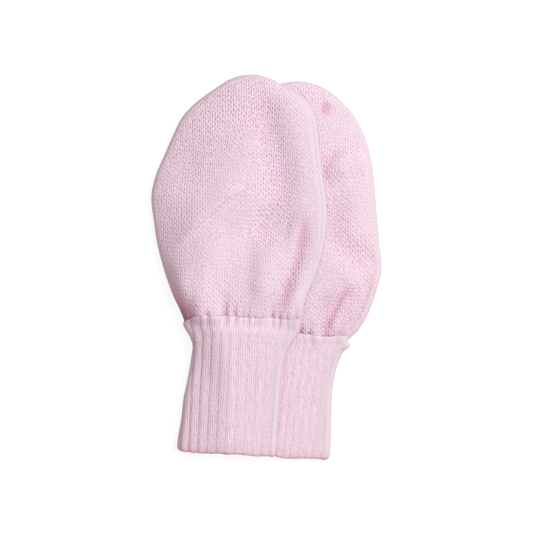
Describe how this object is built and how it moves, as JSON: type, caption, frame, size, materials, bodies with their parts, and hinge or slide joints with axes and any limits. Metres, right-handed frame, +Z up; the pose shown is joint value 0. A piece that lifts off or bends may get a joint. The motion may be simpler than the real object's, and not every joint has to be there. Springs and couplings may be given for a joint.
{
  "type": "pair of baby mittens",
  "caption": "Thumbless baby mittens in pale pink fine knit, laid flat and overlapping: gathered jersey hand bags on folded rib cuffs, to keep a baby's hands warm.",
  "frame": {"origin": "middle of the pair's outline, on the surface that it lies on", "axes": "+Z up from the surface, +Y towards the fingertips, +X towards the mitten that lies underneath"},
  "size_m": [0.0845, 0.1412, 0.0117],
  "materials": {
    "jersey": "fine brushed knit",
    "rib": "doubled rib knit"
  },
  "bodies": {
    "root": {"upper_hand_back": "jersey", "upper_hand_palm": "jersey", "upper_cuff": "rib", "lower_hand_back": "jersey", "lower_hand_palm": "jersey", "lower_cuff": "rib"}
  },
  "joints": []
}
